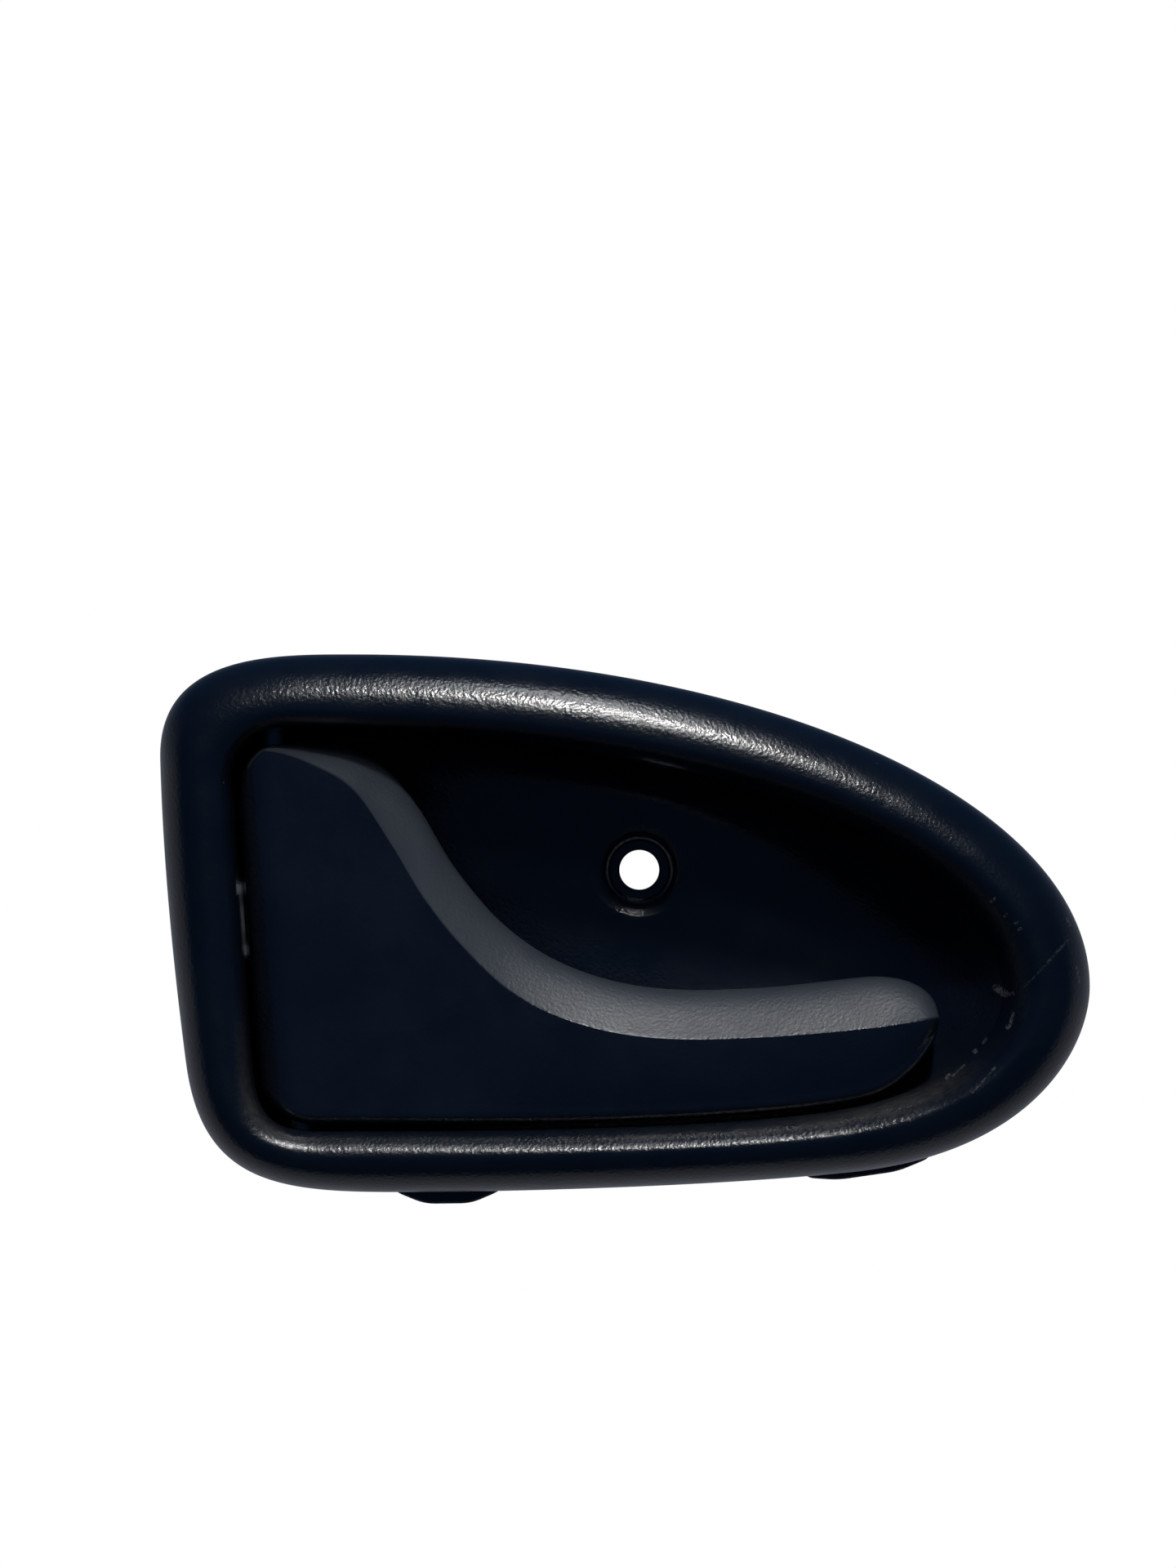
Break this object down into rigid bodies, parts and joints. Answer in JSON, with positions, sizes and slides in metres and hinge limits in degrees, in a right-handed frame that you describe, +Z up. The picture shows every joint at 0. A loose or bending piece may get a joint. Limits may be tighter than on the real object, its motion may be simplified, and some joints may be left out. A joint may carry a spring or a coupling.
{
  "type": "car interior door handle",
  "caption": "Teardrop door handle with a rolled rim, a deep finger bowl and a sprung pull lever that works the latch cable.",
  "frame": {"origin": "on the screw hole's axis, in the plane of the screw boss's seat", "axes": "+X along the bezel from the hinge side to the nose, +Y into the door along the screw, +Z up"},
  "size_m": [0.14, 0.034, 0.083],
  "materials": {
    "bezel_plastic": "fine grained, black with a navy tint, satin",
    "lever_plastic": "fine grained, black with a navy tint, satin",
    "pin_steel": "ground, black oxide",
    "clip_steel": "stamped, phosphated",
    "spring_steel": "drawn wire",
    "buffer_rubber": "matt, moulded",
    "swivel_nylon": "natural nylon"
  },
  "bodies": {
    "bezel": {"bezel": "bezel_plastic", "hinge_pin": "pin_steel", "pin_clip": "clip_steel", "return_spring": "spring_steel", "closed_stop_buffer": "buffer_rubber"},
    "lever": {"lever": "lever_plastic"},
    "cable_swivel": {"cable_swivel": "swivel_nylon"}
  },
  "joints": [
    {"name": "lever_pull", "type": "hinge", "parent": "bezel", "child": "lever", "pos_m": [-0.05394, -0.025, 0], "axis": [0.0732, 0, -0.9973], "range_deg": [0, 30], "stiffness_Nm_per_rad": 0.08, "springref_deg": -28.65, "deforming": ["return_spring"]},
    {"name": "swivel_turn", "type": "hinge", "parent": "lever", "child": "cable_swivel", "pos_m": [-0.05394, -0.0035, 0], "axis": [0.0732, 0, -0.9973], "range_deg": [-35, 35]}
  ]
}
